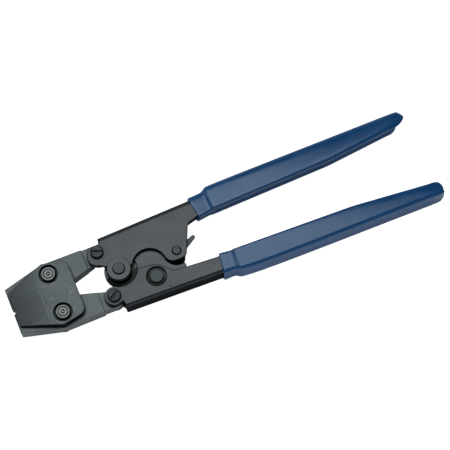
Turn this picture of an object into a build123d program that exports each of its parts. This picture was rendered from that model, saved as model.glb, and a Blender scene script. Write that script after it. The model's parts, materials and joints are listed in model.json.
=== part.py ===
from build123d import *
import os
from collections import namedtuple
from math import atan2, cos, degrees, hypot, radians, sin, sqrt, tan

# A hand plier with a compound linkage and a ratchet, for clamp rings on plastic pipe.
# It lies flat with its jaws closed. Lengths are millimetres and angles are degrees.
# Outlines are drawn about the centre pivot: +X runs to the handles, +Y to the upper
# handle, and Z is counted from the mid plane. The last step stands it on its back.

# Reach from the centre pivot
jaw_reach = 82.9
upper_reach = 242.2
lower_reach = 247.2

# Pivot places, ahead of (or behind) the centre pivot and to the side of the axis
jaw_pin_x = 49.2
jaw_pin_y = 15.4
link_x = 10.4
link_y = 17.9
ratchet_pin_x = 23.5
ratchet_pin_y = 15.5
pawl_x = 44.3
pawl_y = 2.9

# Thicknesses
sheet = 3.0
channel_gap = 12.0
jaw_thick = 10.8
tang_thick = 9.0
plate_thick = 5.4
ratchet_thick = 10.6
hub_thick = 6.0
washer_thick = 1.2
flat_head = 1.2
vinyl = 1.3

# Clearances
slide_gap = 0.1
run_gap = 0.05
press_gap = 0.02
open_pivot_gap = 0.42

# Pins and screws
jaw_pin_r = 5.2
counterbore_r = 6.8
counterbore_depth = 2.4
jaw_pin_proud = 1.1
pivot_pin_r = 4.4
pivot_pin_proud = 1.8
link_post_r = 3.6
link_head_r = 5.2
screw_r = 2.0
screw_depth = 12.0
screw_head_r = 4.9
screw_head = 2.9
screw_head_chamfer = 0.7
slot_width = 1.2
slot_depth = 1.3
upper_slot_turn = -22.0
lower_slot_turn = 29.0
ratchet_pin_r = 5.0
ratchet_head_r = 6.9
ratchet_pin_proud = 0.7
ring_r = 6.8
ring_thick = 0.85
ring_groove = 0.5
ring_seat_depth = 2.2
ring_seat_gap = 0.4
ring_start = 138.0
ring_end = 322.0
pawl_pin_r = 3.1
pawl_pin_proud = 1.3
pin_chamfer = 0.4

# Washers
pivot_washer_r = 8.7
thrust_washer_r = 9.0
link_washer_r = 6.5
pawl_spacer_r = 4.6
pawl_spacer_thick = 1.4

# Jaws and side plates
mouth = 4.4
jaw_tip_half = 17.9
jaw_half_width = 25.9
jaw_shoulder_x = 52.3
tang_x = 20.7
tang_r = 7.3
jaw_inner_x = 46.7
jaw_inner_angle = 15.9
jaw_inner_end = 15.5
jaw_edge = 0.4
plate_setback = 1.4
plate_tip_half = 13.3
plate_half_width = 24.7
plate_shoulder_x = 51.8
plate_rear_x = 33.2
plate_rear_half = 21.2
plate_corner_r = 6.0
bevel_x = 59.8
bevel_drop = 2.7

# Handle frames
spine_y = 29.0
spine_angle = 1.7
upper_spine_front = 6.6
lower_spine_front = 5.2
upper_bend_r = 4.2
lower_bend_r = 2.4
ear_r = 7.2
rear_ear_r = 6.4
ear_lean_x = 1.1
ear_lean_y = 3.1
ear_under_angle = -77.5
upper_ear_top = 23.8
lower_ear_top = 25.2
throat_x = 12.7
throat_y = 7.9
throat_angle = 147.7
pivot_lobe_r = 9.3
arch_x = 22.0
arch_y = 5.6
arch_r = 12.6
arch_lip = 0.5
pawl_lobe_drop = 6.8
pawl_lobe_back = 8.2
pawl_lobe_corner = 6.0
pawl_lobe_flat = 3.0
arch_foot_r = 7.0
heel_x = 59.6
heel_drop = 2.6
heel_r = 4.0
heel_setback = 1.5
pivot_arc_r = 13.4
boss_rise = 8.9
boss_back = 4.0
boss_r = 7.0
shelf_back = 13.5
shelf_rise = -0.8
shelf_r = 5.0
arc_end_y = 4.6
punch_x = 30.1
punch_y = 26.3
punch_r = 0.6
punch_depth = 0.6

# Handle channels under the grips
neck_x = 68.0
upper_neck_front = 16.0
upper_neck_rear = 19.4
lower_neck_in = 18.4
joggle_x = 81.0
upper_shift = -1.6
lower_shift = 1.6
joggle_length = 9.0
joggle_step = 3.5
joggle_steps = 4
grip_angle = 0.44
grip_bend_r = 6.5
flange_in = 18.8
flange_angle = 1.6
flange_skew = 1.15
taper_x = 178.0
end_in = 27.6
end_cover = 3.5
grip_end_r = 4.6
grip_end_flat = 6.2
grip_end_slant = 7.5
rear_end_slant = 12.0
grip_slant_r = 1.5
grip_heel_r = 6.0
grip_rim = 1.8
grip_front_x = 68.3
grip_lead = 5.2
dip_slant = 7.5

# Ratchet
hub_r = 11.2
hub_step_r = 13.6
tooth_r = 36.0
tooth_depth = 2.2
tooth_count = 8
tooth_pitch = 4.0
pawl_tip_angle = 8.0
pawl_tip_gap = 0.3
tooth_lead = 3.4
relief_depth = 2.6
relief_span = 9.4
scoop_r = 10.0
plate_end_x = 47.2
plate_heel_x = 6.0
hub_side_x = 2.8
hub_side_y = 10.0

# Pawl and its spring
pawl_hub_r = 5.4
pawl_nose_half = 4.9
lever_reach = 17.8
lever_angle = 26.0
lever_root_r = 2.9
lever_r = 1.4
lever_thick = 2.8
wire_r = 0.4
coil_r = 4.3
coil_pitch = 1.25
coil_turns = 2
coil_ease = 0.05
peg_r = 0.8
peg_ear_r = 1.9
peg_setback = 3.5
leg_past_peg = 3.0
wire_sides = 8
leg_end_gap = 0.3

# Heights that follow from the thicknesses
half_gap = channel_gap / 2
frame_half = half_gap + sheet
jaw_half = jaw_thick / 2
tang_half = tang_thick / 2
plate_in = jaw_half + slide_gap
plate_out = plate_in + plate_thick
ratchet_half = ratchet_thick / 2
hub_half = hub_thick / 2
shoulder_rise = plate_out - vinyl - frame_half
pawl_low = pawl_spacer_thick + 2 * slide_gap - half_gap
ring_floor = frame_half - ring_seat_depth

# Places that follow from the reach
plate_tip_x = jaw_reach - plate_setback
trim = 2 * jaw_reach

# The two handles differ a little in length, in where they are set, and at their edges
Handle = namedtuple("Handle", "reach shift neck_front neck_rear skew spine_front ear_top bend_r")
upper_side = Handle(
    upper_reach, upper_shift, upper_neck_front, upper_neck_rear, flange_skew,
    upper_spine_front, upper_ear_top, upper_bend_r,
)
lower_side = Handle(
    lower_reach, lower_shift, lower_neck_in, lower_neck_in, 0,
    lower_spine_front, lower_ear_top, lower_bend_r,
)

# The pawl's tip stands just off the teeth, and its spring starts square to the nose
tip_x = (tooth_r + pawl_tip_gap) * cos(radians(pawl_tip_angle))
tip_y = (tooth_r + pawl_tip_gap) * sin(radians(pawl_tip_angle))
nose_angle = degrees(atan2(tip_y + pawl_y, tip_x - pawl_x))
nose_reach = hypot(tip_y + pawl_y, tip_x - pawl_x)
peg_reach = nose_reach - peg_setback
coil_sweep = 360 * coil_turns + 90 + nose_angle
coil_rise = coil_pitch * coil_sweep / 360
coil_top = half_gap - leg_end_gap - wire_r
coil_low = coil_top - coil_rise
pawl_high = coil_low - wire_r - slide_gap


def slab(outline, low, high):
    """A flat piece: an outline in plan, between two heights."""
    return Pos(0, 0, low) * extrude(outline, high - low, dir=(0, 0, 1))


def rod(x, y, radius, low, high, chamfer_size=0.0):
    """A round piece along Z, with its two rims chamfered where a size is given."""
    body = Pos(x, y, (low + high) / 2) * Cylinder(radius, high - low)
    if chamfer_size > 0:
        body = chamfer(body.edges().filter_by(GeomType.CIRCLE), chamfer_size)
    return body


def tube(x, y, outer, inner, low, high):
    """A plain washer."""
    return rod(x, y, outer, low, high) - rod(x, y, inner, low - 1, high + 1)


def polar(radius, angle):
    """A point at a distance and an angle from the centre pivot."""
    return (radius * cos(radians(angle)), radius * sin(radians(angle)))


def outline_of(*points):
    """A straight-sided outline through plan points, kept where they are and facing up."""
    pairs = zip(points, points[1:] + points[:1])
    turn = sum(a[0] * b[1] - b[0] * a[1] for a, b in pairs)
    return Polygon(*(points if turn > 0 else points[::-1]), align=None)


def disc(x, y, radius):
    """A round outline in plan."""
    return Pos(x, y) * Circle(radius)


def round_corner(outline, x, y, radius):
    """Rounds the corner of an outline that lies nearest to a plan point."""
    corner = outline.vertices().sort_by_distance((x, y, 0))[0]
    return fillet(corner, radius)


def clip_corner(outline, x, y, size):
    """Cuts off the corner of an outline that lies nearest to a plan point."""
    corner = outline.vertices().sort_by_distance((x, y, 0))[0]
    return chamfer(corner, size)


def wedge(start, end, reach):
    """A sector outline about the centre pivot, cut straight well beyond its use."""
    middle = (start + end) / 2
    return outline_of((0, 0), polar(reach, start), polar(reach, middle), polar(reach, end))


def to_lower(piece):
    """The mirror of a piece of the upper half, for the lower half."""
    return mirror(piece, about=Plane.XZ)


def spine(x):
    """Outer face of a handle's spine, from the tool's axis."""
    return spine_y + x * tan(radians(spine_angle))


def joggle(x, handle):
    """Zero on the neck, one on the grip, with an easy curve between."""
    along = (x - joggle_x - handle.shift) / joggle_length + 0.5
    along = min(max(along, 0.0), 1.0)
    return along * along * (3 - 2 * along)


def channel_out(x, handle):
    """Outer face of the spine along a handle, through the joggle."""
    bend = joggle_x + handle.shift
    gripped = spine(bend) + joggle_step + (x - bend) * tan(radians(grip_angle))
    return spine(x) + (gripped - spine(x)) * joggle(x, handle)


def channel_in(x, handle, neck_in, skew):
    """Free edge of one flange along a handle."""
    bend = joggle_x + handle.shift - joggle_length / 2
    metal_end = handle.reach - end_cover
    first = flange_in + skew
    if x < neck_x:
        return neck_in
    if x < bend:
        return neck_in + (first - neck_in) * (x - neck_x) / (bend - neck_x)
    straight = first + (min(x, taper_x) - bend) * tan(radians(flange_angle))
    if x < taper_x:
        return straight
    return straight + (end_in + skew - straight) * (x - taper_x) / (metal_end - taper_x)


def channel_edges(x, handle):
    """Free edges of the rear and the front flange."""
    rear = channel_in(x, handle, handle.neck_rear, handle.skew)
    front = channel_in(x, handle, handle.neck_front, -handle.skew)
    return rear, front


def channel_face(x, handle, cover):
    """Section of a handle channel, grown on every side by the cover of a grip."""
    half = frame_half + shoulder_rise * joggle(x, handle) + cover
    bend = handle.bend_r + (grip_bend_r - handle.bend_r) * joggle(x, handle) + cover
    wall = sheet + 2 * cover
    bay = half - wall
    outer = channel_out(x, handle) + cover
    rear, front = [edge - cover for edge in channel_edges(x, handle)]
    mouth_y = min(rear, front) - 1
    face = outline_of((rear, -half), (outer, -half), (outer, half), (front, half))
    face = round_corner(face, outer, -half, bend)
    face = round_corner(face, outer, half, bend)
    face = face - outline_of((mouth_y, -bay), (outer - wall, -bay), (outer - wall, bay), (mouth_y, bay))
    if cover > 0:
        slope = (front - rear) / (2 * half)
        middle = (front + rear) / 2
        for z in (-half, -bay, bay, half):
            face = clip_corner(face, middle + slope * z, z, grip_rim)
    return Plane(origin=(x, 0, 0), x_dir=(0, 1, 0), z_dir=(1, 0, 0)) * face


def channel_run(start, end, handle, cover):
    """A handle channel between two stations, through joggle and taper."""
    first = joggle_x + handle.shift - joggle_length / 2
    bends = [first + joggle_length * step / joggle_steps for step in range(joggle_steps + 1)]
    stations = [start, neck_x] + bends + [taper_x, end]
    return loft([channel_face(x, handle, cover).face() for x in stations], ruled=True)


def end_outline(handle, slant):
    """Side view of a grip's end: round at the spine and slanted at the free edge."""
    reach = handle.reach
    stations = (taper_x, reach - slant, reach)
    top = [channel_out(x, handle) + vinyl + press_gap for x in stations]
    low = [min(channel_edges(x, handle)) - vinyl - press_gap for x in stations]
    corner_y = top[2] - grip_end_flat
    end = outline_of(
        (taper_x, top[0]), (reach, top[2]), (reach, corner_y), (reach - slant, low[1]), (taper_x, low[0])
    )
    end = round_corner(end, reach, top[2], grip_end_r)
    end = round_corner(end, reach, corner_y, grip_slant_r)
    return round_corner(end, reach - slant, low[1], grip_heel_r)


def cut_end(body, handle, inset):
    """A channel or grip with its end shaped, set back from the tool's reach."""
    beyond = outline_of((taper_x, trim), (2 * handle.reach, trim), (2 * handle.reach, -trim), (taper_x, -trim))
    front = slab(beyond - end_outline(handle, grip_end_slant), 0, trim)
    rear = slab(beyond - end_outline(handle, rear_end_slant), -trim, 0)
    return body - Pos(-inset, 0, 0) * front - Pos(-inset, 0, 0) * rear


def folded_frame(front, rear, handle):
    """A handle: two flanges that hang from a folded spine and its channel."""
    flanges = slab(front, half_gap, frame_half) + slab(rear, -frame_half, -half_gap)
    channel = channel_run(-handle.spine_front, handle.reach - end_cover, handle, 0)
    return flanges + cut_end(channel, handle, end_cover)


def spine_points(handle, neck_in):
    """Corner points of a flange from its ear, along the fold, to the neck."""
    front = -handle.spine_front
    return [
        (front, handle.ear_top),
        (front, spine(front) - 2 * handle.bend_r),
        (neck_x, spine(neck_x) - 2 * handle.bend_r),
        (neck_x, neck_in),
    ]


def cut_ear(ear, handle):
    """An ear less what the notch ahead of the spine takes off."""
    front = -handle.spine_front
    return ear - outline_of((-trim, handle.ear_top), (front, handle.ear_top), (front, trim), (-trim, trim))


def upper_flange(ear, throat, neck_in, setback):
    """One upper flange: link ear, pivot lobe, arch window, pawl lobe and heel."""
    bottom = -pawl_y - pawl_lobe_drop
    lobe_x = pawl_x + pawl_lobe_back - setback
    corner_x = lobe_x - pawl_lobe_flat
    heel = (heel_x - setback, neck_in - heel_drop)
    points = spine_points(upper_side, neck_in) + [
        heel,
        (lobe_x, -pawl_y),
        (corner_x, bottom),
        (arch_x, bottom),
        (arch_x, -arch_lip),
        (pivot_lobe_r / 2, -arch_lip),
        polar(pivot_lobe_r, throat_angle),
        throat,
        (-link_x, link_y),
    ]
    flange = outline_of(*points) + cut_ear(ear, upper_side) + disc(0, 0, pivot_lobe_r)
    flange = flange - disc(arch_x, -arch_y, arch_r)
    foot_x = arch_x + sqrt(arch_r**2 - (bottom + arch_y) ** 2)
    flange = round_corner(flange, foot_x, bottom, arch_foot_r)
    flange = round_corner(flange, corner_x, bottom, pawl_lobe_corner)
    return round_corner(flange, *heel, heel_r)


def under_ear(radius):
    """Where a plain ear's underside meets its flange."""
    x, y = polar(radius - slide_gap, ear_under_angle)
    return (x - link_x, y + link_y)


def upper_frame():
    """Upper handle; its front flange is the fuller one."""
    leaning = disc(-link_x - ear_lean_x, link_y - ear_lean_y, ear_r)
    front_ear = make_hull((disc(-link_x, link_y, ear_r) + leaning).edges())
    rear_ear = disc(-link_x, link_y, rear_ear_r)
    front = upper_flange(front_ear, (-throat_x, throat_y), upper_neck_front, 0)
    rear = upper_flange(rear_ear, under_ear(rear_ear_r), upper_neck_rear, heel_setback)
    frame = folded_frame(front, rear, upper_side)
    holes = [
        (-link_x, link_y, link_post_r),
        (0, 0, pivot_pin_r),
        (pawl_x, -pawl_y, pawl_pin_r),
    ]
    for x, y, radius in holes:
        frame = frame - rod(x, y, radius + press_gap, -trim, trim)
    return frame


def lower_flange(radius):
    """One lower flange, drawn on the upper side: ear, arc round the pivot, boss and shelf."""
    shelf = (ratchet_pin_x + shelf_back, ratchet_pin_y - shelf_rise)
    boss = (ratchet_pin_x + boss_back, ratchet_pin_y - boss_rise)
    arc_end = (sqrt(pivot_arc_r**2 - arc_end_y**2) - slide_gap, arc_end_y)
    points = spine_points(lower_side, lower_neck_in) + [
        shelf,
        boss,
        arc_end,
        under_ear(radius),
        (-link_x, link_y),
    ]
    flange = outline_of(*points) + cut_ear(disc(-link_x, link_y, radius), lower_side)
    flange = round_corner(flange, *boss, boss_r)
    flange = round_corner(flange, *shelf, shelf_r)
    return flange - disc(0, 0, pivot_arc_r)


def lower_frame():
    """Lower handle, drawn on the upper side."""
    frame = folded_frame(lower_flange(ear_r), lower_flange(rear_ear_r), lower_side)
    frame = frame - rod(-link_x, link_y, link_post_r + press_gap, -trim, trim)
    frame = frame - rod(ratchet_pin_x, ratchet_pin_y, ratchet_pin_r + press_gap, -trim, trim)
    frame = frame - rod(punch_x, punch_y, punch_r, frame_half - punch_depth, trim)
    return frame - rod(ratchet_pin_x, ratchet_pin_y, ring_r + ring_seat_gap, ring_floor, trim)


def grip(frame, handle):
    """A dipped sleeve over a handle channel, drawn on the upper side."""
    sleeve = channel_run(neck_x - grip_lead, handle.reach, handle, vinyl)
    sleeve = cut_end(sleeve, handle, 0)
    dip_x = grip_front_x + handle.shift
    dip_line = Pos(dip_x, channel_out(dip_x, handle), 0) * Rot(0, 0, dip_slant)
    sleeve = sleeve - dip_line * Pos(-trim / 2, 0, 0) * Box(trim, trim, trim)
    return sleeve - frame


def jaw(bore_gap):
    """A jaw with its tang, drawn on the upper side."""
    inner_y = mouth / 2 + (jaw_inner_x - jaw_inner_end) * tan(radians(jaw_inner_angle))
    plan = outline_of(
        (-jaw_reach, mouth / 2),
        (-jaw_reach, jaw_tip_half),
        (-jaw_shoulder_x, jaw_half_width),
        (-tang_x, link_y + tang_r + jaw_edge),
        (-tang_x, link_y + tang_r),
        (-link_x, link_y + tang_r),
        (-link_x, link_y),
        (-jaw_inner_end, inner_y),
        (-jaw_inner_x, mouth / 2),
    )
    plan = plan + disc(-link_x, link_y, tang_r)
    body = slab(plan, -jaw_half, jaw_half)
    outer_faces = body.faces().sort_by(Axis.Z)
    rims = [edge for face in (outer_faces[0], outer_faces[-1]) for edge in face.edges()]
    tip_rims = [edge for edge in rims if edge.center().X < 1 - jaw_reach]
    body = chamfer(tip_rims, jaw_edge)
    rear = outline_of((-tang_x, trim), (trim, trim), (trim, -trim), (-tang_x, -trim))
    body = body - slab(rear, tang_half, trim) - slab(rear, -trim, -tang_half)
    body = body - rod(-jaw_pin_x, jaw_pin_y, jaw_pin_r + bore_gap, -trim, trim)
    return body - rod(-link_x, link_y, link_post_r + run_gap, -trim, trim)


def jaw_plate():
    """Front side plate: bevelled nose, round rear corners and two counterbores."""
    plan = outline_of(
        (-plate_tip_x, plate_tip_half),
        (-plate_shoulder_x, plate_half_width),
        (-plate_rear_x, plate_rear_half),
        (-plate_rear_x, -plate_rear_half),
        (-plate_shoulder_x, -plate_half_width),
        (-plate_tip_x, -plate_tip_half),
    )
    for side in (-1, 1):
        plan = round_corner(plan, -plate_rear_x, side * plate_rear_half, plate_corner_r)
    plate = slab(plan, plate_in, plate_out)
    nose = outline_of(
        (-bevel_x, plate_out), (-plate_tip_x, plate_out - bevel_drop), (-plate_tip_x, trim), (-bevel_x, trim)
    )
    plate = plate - extrude(Plane.XZ * nose, trim, both=True)
    for side in (-1, 1):
        y = side * jaw_pin_y
        plate = plate - rod(-jaw_pin_x, y, jaw_pin_r + press_gap, -trim, trim)
        plate = plate - rod(-jaw_pin_x, y, counterbore_r, plate_out - counterbore_depth, trim)
    return plate


def jaw_pin(side):
    """Shouldered jaw pin: flush at the back, its turned end proud at the front."""
    return rod(-jaw_pin_x, side * jaw_pin_y, jaw_pin_r, -plate_out, plate_out + jaw_pin_proud, pin_chamfer)


def link_post(side):
    """Barrel of a link pivot with a flat head behind, bored for its screw."""
    y = side * link_y
    barrel = rod(-link_x, y, link_post_r, -frame_half, frame_half)
    head = rod(-link_x, y, link_head_r, -frame_half - flat_head, -frame_half)
    head = chamfer(head.edges().group_by(Axis.Z)[0], pin_chamfer)
    bore_low = frame_half - screw_depth - slide_gap
    return barrel + head - rod(-link_x, y, screw_r + press_gap, bore_low, trim)


def link_screw(side, slot_turn):
    """Slotted screw that closes a link pivot at the front."""
    y = side * link_y
    shank = rod(-link_x, y, screw_r, frame_half - screw_depth, frame_half)
    head = rod(-link_x, y, screw_head_r, frame_half, frame_half + screw_head)
    head = chamfer(head.edges().group_by(Axis.Z)[-1], screw_head_chamfer)
    slot = Pos(-link_x, y, frame_half + screw_head) * Rot(0, 0, slot_turn)
    return shank + head - slot * Box(3 * screw_head_r, slot_width, 2 * slot_depth)


def link_washers(side):
    """Spacers between a jaw's tang and the two flanges."""
    low = tang_half + slide_gap / 2
    high = half_gap - slide_gap / 2
    y = side * link_y
    bore = link_post_r + run_gap
    front = tube(-link_x, y, link_washer_r, bore, low, high)
    rear = tube(-link_x, y, link_washer_r, bore, -high, -low)
    return Compound(children=[front, rear])


def pivot_pin():
    """Main pivot of the two handles."""
    low = -frame_half - washer_thick - pin_chamfer
    high = frame_half + washer_thick + pivot_pin_proud
    return rod(0, 0, pivot_pin_r, low, high, pin_chamfer)


def pivot_washer(front):
    """Disc between a flange and an end of the pivot pin."""
    low = frame_half if front else -frame_half - washer_thick
    return tube(0, 0, pivot_washer_r, pivot_pin_r + press_gap, low, low + washer_thick)


def thrust_washers():
    """Discs between the ratchet plate's hub and the upper flanges."""
    low = hub_half + slide_gap / 2
    high = half_gap - slide_gap / 2
    bore = pivot_pin_r + run_gap
    front = tube(0, 0, thrust_washer_r, bore, low, high)
    rear = tube(0, 0, thrust_washer_r, bore, -high, -low)
    return Compound(children=[front, rear])


def ratchet_plate():
    """Toothed plate: hub on the pivot, teeth behind the arch, seated on the lower spine."""
    first_tooth = pawl_tip_angle + tooth_lead
    last_tooth = first_tooth + tooth_count * tooth_pitch
    far = 2 * tooth_r
    seat = [-spine(x) + sheet + slide_gap / 2 for x in (plate_heel_x, plate_end_x)]
    plan = disc(0, 0, hub_r) + (disc(0, 0, tooth_r) & wedge(-relief_span, last_tooth, far))
    plan = plan + outline_of(
        (0, 0), (plate_end_x, 0), (plate_end_x, seat[1]), (plate_heel_x, seat[0]), (-hub_side_x, -hub_side_y)
    )
    for tooth in range(tooth_count):
        face = first_tooth + tooth * tooth_pitch
        back = face + tooth_pitch
        root = polar(tooth_r - tooth_depth, back)
        plan = plan - outline_of(polar(tooth_r, face), root, polar(far, back), polar(far, face))
    relief = disc(0, 0, far) - disc(0, 0, tooth_r - relief_depth)
    plan = plan - (relief & wedge(first_tooth - relief_span, first_tooth, 2 * far))
    plan = plan - disc(pawl_x, -pawl_y, scoop_r)
    plate = slab(plan, -ratchet_half, ratchet_half)
    for low, high in ((hub_half, trim), (-trim, -hub_half)):
        plate = plate - rod(0, 0, hub_step_r, low, high)
    plate = plate - rod(0, 0, pivot_pin_r + run_gap, -trim, trim)
    return plate - rod(ratchet_pin_x, -ratchet_pin_y, ratchet_pin_r + press_gap, -trim, trim)


def ratchet_pin():
    """Large pin through the lower handle and the ratchet plate, grooved for its ring."""
    x = ratchet_pin_x
    y = -ratchet_pin_y
    ring_low = ring_floor + slide_gap / 2
    ring_high = ring_low + ring_thick
    shank = rod(x, y, ratchet_pin_r, -frame_half, frame_half + ratchet_pin_proud)
    shank = chamfer(shank.edges().group_by(Axis.Z)[-1], pin_chamfer)
    head = rod(x, y, ratchet_head_r, -frame_half - flat_head, -frame_half)
    head = chamfer(head.edges().group_by(Axis.Z)[0], pin_chamfer)
    groove = tube(x, y, ring_r, ratchet_pin_r - ring_groove, ring_low - press_gap, ring_high + press_gap)
    return shank + head - groove


def ratchet_ring():
    """Crescent ring pushed from the side into the groove of the ratchet pin, in its seat."""
    low = ring_floor + slide_gap / 2
    washer = Circle(ring_r) - Circle(ratchet_pin_r - ring_groove + press_gap)
    washer = washer - wedge(ring_end, 360 + ring_start, 4 * ring_r)
    return slab(Pos(ratchet_pin_x, -ratchet_pin_y) * washer, low, low + ring_thick)


def pawl_frame():
    """Unit directions along the pawl's nose and square to it."""
    along = Vector(*polar(1, nose_angle))
    return along, Vector(along.Y, -along.X)


def pawl():
    """Pawl with its nose at the teeth, a spring peg and a release lever for a tail."""
    hub = Vector(pawl_x, -pawl_y)
    along, across = pawl_frame()
    upper = hub + across * pawl_nose_half
    under = hub - across * pawl_nose_half
    plan = disc(pawl_x, -pawl_y, pawl_hub_r)
    plan = plan + outline_of((tip_x, tip_y), (upper.X, upper.Y), (under.X, under.Y))
    lever = Vector(*polar(lever_reach, lever_angle)) + hub
    lever_ends = disc(pawl_x, -pawl_y, lever_root_r) + disc(lever.X, lever.Y, lever_r)
    peg = hub + along * peg_reach + across * (coil_r - wire_r - slide_gap - peg_r)
    plan = plan + disc(peg.X, peg.Y, peg_ear_r)
    body = slab(plan, pawl_low, pawl_high) + slab(make_hull(lever_ends.edges()), pawl_high - lever_thick, pawl_high)
    body = body + rod(peg.X, peg.Y, peg_r, pawl_high, coil_low + 2 * wire_r)
    return body - rod(pawl_x, -pawl_y, pawl_pin_r + run_gap, -trim, trim)


def coil_level(share):
    """Height along the coil: a steady climb that starts and ends level."""
    climb = 1 - coil_ease
    if share < coil_ease:
        return share**2 / (2 * coil_ease * climb)
    if share > climb:
        return 1 - (1 - share) ** 2 / (2 * coil_ease * climb)
    return (share - coil_ease / 2) / climb


def coil_point(turned, start):
    """A point of the spring's coil, after turning clockwise from its start."""
    angle = radians(start - turned)
    level = coil_low + coil_rise * coil_level(turned / coil_sweep)
    return Vector(pawl_x + coil_r * cos(angle), -pawl_y + coil_r * sin(angle), level)


def biarc(first, first_way, last, last_way):
    """Two arcs, tangent to each other and to the given ways at their ends."""
    span = last - first
    pull = span.dot(first_way + last_way)
    slack = 2 * (1 - first_way.dot(last_way))
    reach = (sqrt(pull**2 + slack * span.dot(span)) - pull) / slack
    ahead = first + first_way * reach
    behind = last - last_way * reach
    middle = (ahead + behind) * 0.5
    return [
        TangentArc(first, middle, tangent=first_way),
        TangentArc(middle, last, tangent=behind - ahead),
    ]


def pawl_spring():
    """Torsion spring: one leg along the pawl's nose, a coil on its pin, one leg to the spine."""
    along, across = pawl_frame()
    start = coil_sweep - 360 * coil_turns - 180
    quarters = round(coil_sweep / 90)
    turns = [coil_sweep * step / quarters for step in range(quarters + 1)]
    points = [coil_point(turned, start) for turned in turns]
    ways = [(coil_point(t + 0.5, start) - coil_point(t - 0.5, start)).normalized() for t in turns]
    foot = points[0] + along * (peg_reach + leg_past_peg)
    head_y = spine(points[-1].X) - sheet - leg_end_gap
    path = [Line(foot, points[0])]
    for step in range(quarters):
        path += biarc(points[step], ways[step], points[step + 1], ways[step + 1])
    path.append(Line(points[-1], (points[-1].X, head_y, points[-1].Z)))
    route = Wire(path)
    start_plane = Plane(origin=foot, z_dir=points[0] - foot)
    section = start_plane * RegularPolygon(wire_r, wire_sides)
    spring = sweep(section, path=route)
    samples = [coil_point(turned, start) for turned in range(0, int(coil_sweep), 10)]
    gaps = [(a - b).length - 2 * wire_r for i, a in enumerate(samples) for b in samples[i + 18 :]]
    length = sum(edge.length for edge in path)
    print("spring: least gap between turns", round(min(gaps), 3))
    print("spring: volume over section times length", round(spring.volume / (section.area * length), 4))
    return spring


def pawl_spacer():
    """Washer behind the pawl."""
    low = slide_gap - half_gap
    return tube(pawl_x, -pawl_y, pawl_spacer_r, pawl_pin_r + press_gap, low, low + pawl_spacer_thick)


def pawl_pin():
    """Pin of the pawl, held in the two upper flanges."""
    reach = frame_half + pawl_pin_proud
    return rod(pawl_x, -pawl_y, pawl_pin_r, -reach, reach, pin_chamfer)


def build():
    """Every piece by name, about the centre pivot."""
    upper = upper_frame()
    lower = lower_frame()
    front_plate = jaw_plate()
    return {
        "upper_handle_frame": upper,
        "upper_grip": grip(upper, upper_side),
        "center_pivot_pin": pivot_pin(),
        "pivot_washer_front": pivot_washer(True),
        "pivot_washer_rear": pivot_washer(False),
        "upper_link_screw": link_screw(1, upper_slot_turn),
        "upper_link_post": link_post(1),
        "pawl_pin": pawl_pin(),
        "pawl_spacer": pawl_spacer(),
        "pawl_spring": pawl_spring(),
        "lower_handle_frame": to_lower(lower),
        "lower_grip": to_lower(grip(lower, lower_side)),
        "ratchet_plate": ratchet_plate(),
        "ratchet_pin": ratchet_pin(),
        "ratchet_pin_ring": ratchet_ring(),
        "lower_link_screw": link_screw(-1, lower_slot_turn),
        "lower_link_post": link_post(-1),
        "pivot_thrust_washers": thrust_washers(),
        "upper_jaw": jaw(run_gap),
        "upper_link_washers": link_washers(1),
        "lower_jaw": to_lower(jaw(open_pivot_gap)),
        "lower_link_washers": link_washers(-1),
        "front_jaw_plate": front_plate,
        "rear_jaw_plate": mirror(front_plate, about=Plane.XY),
        "upper_jaw_pin": jaw_pin(1),
        "lower_jaw_pin": jaw_pin(-1),
        "pawl": pawl(),
    }


# The tool rests on its back plate and grips, and its box is centred over the origin.
stand = Pos((jaw_reach - max(upper_reach, lower_reach)) / 2, 0, plate_out)
os.makedirs("parts", exist_ok=True)
for name, piece in build().items():
    export_step(stand * piece, f"parts/{name}.step")
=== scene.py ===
import json
from collections import namedtuple
from math import cos, pi, radians, sin, tan

import bmesh
import bpy
from mathutils import Matrix, Vector

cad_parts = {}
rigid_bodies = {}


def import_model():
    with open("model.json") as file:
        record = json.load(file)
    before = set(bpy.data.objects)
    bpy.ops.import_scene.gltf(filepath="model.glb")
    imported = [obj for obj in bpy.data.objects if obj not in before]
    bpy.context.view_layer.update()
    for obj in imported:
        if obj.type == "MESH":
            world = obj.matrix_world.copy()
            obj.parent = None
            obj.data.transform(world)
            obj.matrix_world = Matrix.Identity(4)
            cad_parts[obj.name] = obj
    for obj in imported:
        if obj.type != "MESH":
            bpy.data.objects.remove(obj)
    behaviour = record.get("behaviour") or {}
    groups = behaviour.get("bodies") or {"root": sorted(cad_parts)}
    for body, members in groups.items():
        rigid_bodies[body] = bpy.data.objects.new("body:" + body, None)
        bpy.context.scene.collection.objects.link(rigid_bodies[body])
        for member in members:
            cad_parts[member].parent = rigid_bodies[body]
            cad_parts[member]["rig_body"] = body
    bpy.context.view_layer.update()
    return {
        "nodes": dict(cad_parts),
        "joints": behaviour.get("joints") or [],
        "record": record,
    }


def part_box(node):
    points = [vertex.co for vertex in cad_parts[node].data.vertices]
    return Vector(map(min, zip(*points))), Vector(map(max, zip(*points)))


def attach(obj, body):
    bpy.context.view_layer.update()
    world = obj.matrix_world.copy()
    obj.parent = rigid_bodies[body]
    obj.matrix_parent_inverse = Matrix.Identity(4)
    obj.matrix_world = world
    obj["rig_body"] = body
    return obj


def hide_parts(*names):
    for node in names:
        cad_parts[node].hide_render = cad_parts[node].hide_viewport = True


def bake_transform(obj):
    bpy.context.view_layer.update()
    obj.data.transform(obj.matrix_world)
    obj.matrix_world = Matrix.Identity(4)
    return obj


# A clamp plier lying on a white bench, under a large softbox with a fill card beside it.
# Lengths are metres unless a comment says otherwise, and the frame gives every place.
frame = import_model()
nodes = frame["nodes"]
slot_of = {row["node"]: row["material_slot"] for row in frame["record"]["subparts"]}
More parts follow.
